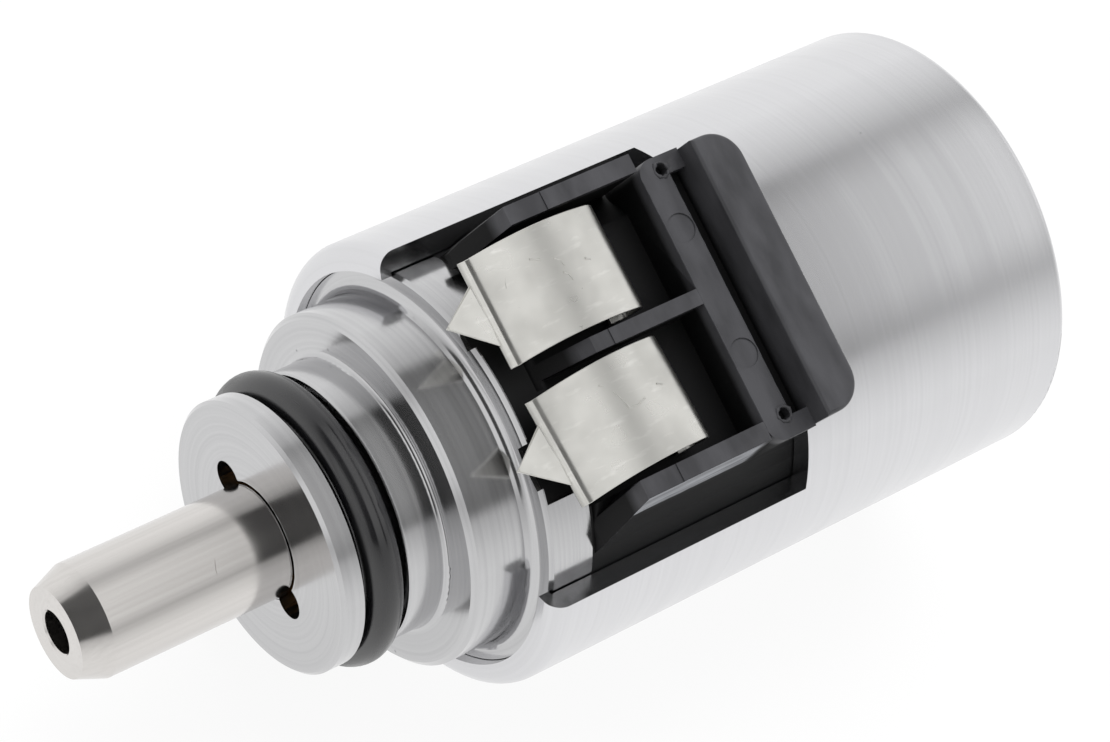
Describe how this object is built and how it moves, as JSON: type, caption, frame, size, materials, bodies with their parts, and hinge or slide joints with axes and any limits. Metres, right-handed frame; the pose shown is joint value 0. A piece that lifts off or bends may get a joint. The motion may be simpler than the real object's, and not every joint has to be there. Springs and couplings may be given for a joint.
{
  "type": "transmission solenoid valve",
  "caption": "Pressure-control solenoid: round steel can with a window over sprung contact pads, turned nose with O-ring and a hollow push pin.",
  "frame": {"origin": "where the valve's axis meets the plane of the can's front lip, in the middle of the collar that locates it", "axes": "+X along the axis towards the can's closed end, -X towards the push pin, +Z out through the contact window"},
  "size_m": [0.073, 0.032, 0.033],
  "materials": {
    "can_steel": "turned low-carbon steel, satin",
    "nose_metal": "free-cutting steel, turned, tool marks",
    "seal_rubber": "moulded fluorocarbon rubber, oiled",
    "pin_steel": "hardened steel, ground",
    "carrier_plastic": "glass-filled polyamide, moulded black",
    "contact_silver": "copper alloy strip, silver plated",
    "core_iron": "soft magnetic iron",
    "spring_steel": "spring steel",
    "bush_bronze": "sintered bronze",
    "shim_brass": "rolled brass",
    "bobbin_plastic": "moulded polyamide",
    "winding_copper": "enamelled copper wire",
    "plug_steel": "plain steel, turned"
  },
  "bodies": {
    "valve": {"can": "can_steel", "nose_body": "nose_metal", "nose_seal": "seal_rubber", "stop_shim": "shim_brass", "front_bush": "bush_bronze", "rear_bush": "bush_bronze", "guide_tube": "spring_steel", "rear_pole": "core_iron", "spring_seat": "spring_steel", "return_spring": "spring_steel", "coil_bobbin": "bobbin_plastic", "coil_winding": "winding_copper", "pole_seal": "seal_rubber", "flux_ring": "core_iron", "disc_spring": "spring_steel", "end_plug": "plug_steel", "terminal_carrier": "carrier_plastic", "terminal_left": "contact_silver", "terminal_right": "contact_silver", "coil_lead_left": "winding_copper", "coil_lead_right": "winding_copper"},
    "plunger": {"plunger_pin": "pin_steel", "armature": "core_iron", "armature_ring": "spring_steel"},
    "contact_left": {"contact_spring_left": "contact_silver"},
    "contact_right": {"contact_spring_right": "contact_silver"}
  },
  "joints": [
    {"name": "plunger_slide", "type": "slide", "parent": "valve", "child": "plunger", "axis": [1, 0, 0], "range_m": [0, 0.002], "stiffness_N_per_m": 1500, "springref_m": -0.003, "deforming": ["return_spring"]},
    {"name": "contact_left_press", "type": "hinge", "parent": "valve", "child": "contact_left", "pos_m": [0.0136, 0.0061, 0.01205], "axis": [0.014, -0.9999, 0], "range_deg": [0, 2], "stiffness_Nm_per_rad": 0.7},
    {"name": "contact_right_press", "type": "hinge", "parent": "valve", "child": "contact_right", "pos_m": [0.0136, -0.00365, 0.01205], "axis": [0.0523, -0.9986, 0], "range_deg": [0, 2], "stiffness_Nm_per_rad": 0.7}
  ]
}
